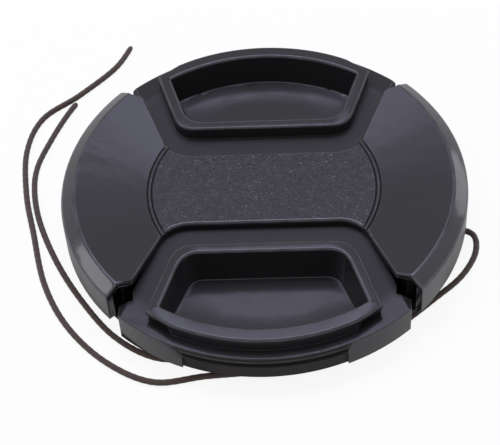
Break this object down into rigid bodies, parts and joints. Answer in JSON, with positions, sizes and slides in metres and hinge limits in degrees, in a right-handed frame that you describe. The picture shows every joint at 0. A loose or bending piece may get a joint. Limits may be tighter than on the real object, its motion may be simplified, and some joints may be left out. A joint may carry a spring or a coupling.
{
  "type": "camera lens cap",
  "caption": "Round camera lens cap with two sprung pinch levers, deep finger wells, dished wings, a grained centre panel and a thin loose cord.",
  "frame": {"origin": "centre of the cap on the surface that it lies on, at the bottom of the rear cover's foot ring", "axes": "+Z out of the front face, Y along the travel of the two levers, X across the two wings"},
  "size_m": [0.0703, 0.0692, 0.0089],
  "materials": {
    "shell": "satin moulded black",
    "lever": "satin moulded black",
    "cover": "fine matt moulded black",
    "spring": "drawn wire",
    "cord": "braided dark brown-black cord"
  },
  "bodies": {
    "cap": {"front_shell": "shell", "rear_cover": "cover", "spring_near_left": "spring", "spring_near_right": "spring", "spring_far_left": "spring", "spring_far_right": "spring", "cord": "cord"},
    "near_lever": {"lever_near": "lever"},
    "far_lever": {"lever_far": "lever"}
  },
  "joints": [
    {"name": "near_lever_slide", "type": "slide", "parent": "cap", "child": "near_lever", "axis": [0, 1, 0], "range_m": [0, 0.0023], "stiffness_N_per_m": 900, "springref_m": -0.003, "deforming": ["spring_near_left", "spring_near_right"]},
    {"name": "far_lever_slide", "type": "slide", "parent": "cap", "child": "far_lever", "axis": [0, -1, 0], "range_m": [0, 0.0023], "stiffness_N_per_m": 900, "springref_m": -0.003, "deforming": ["spring_far_left", "spring_far_right"]}
  ]
}
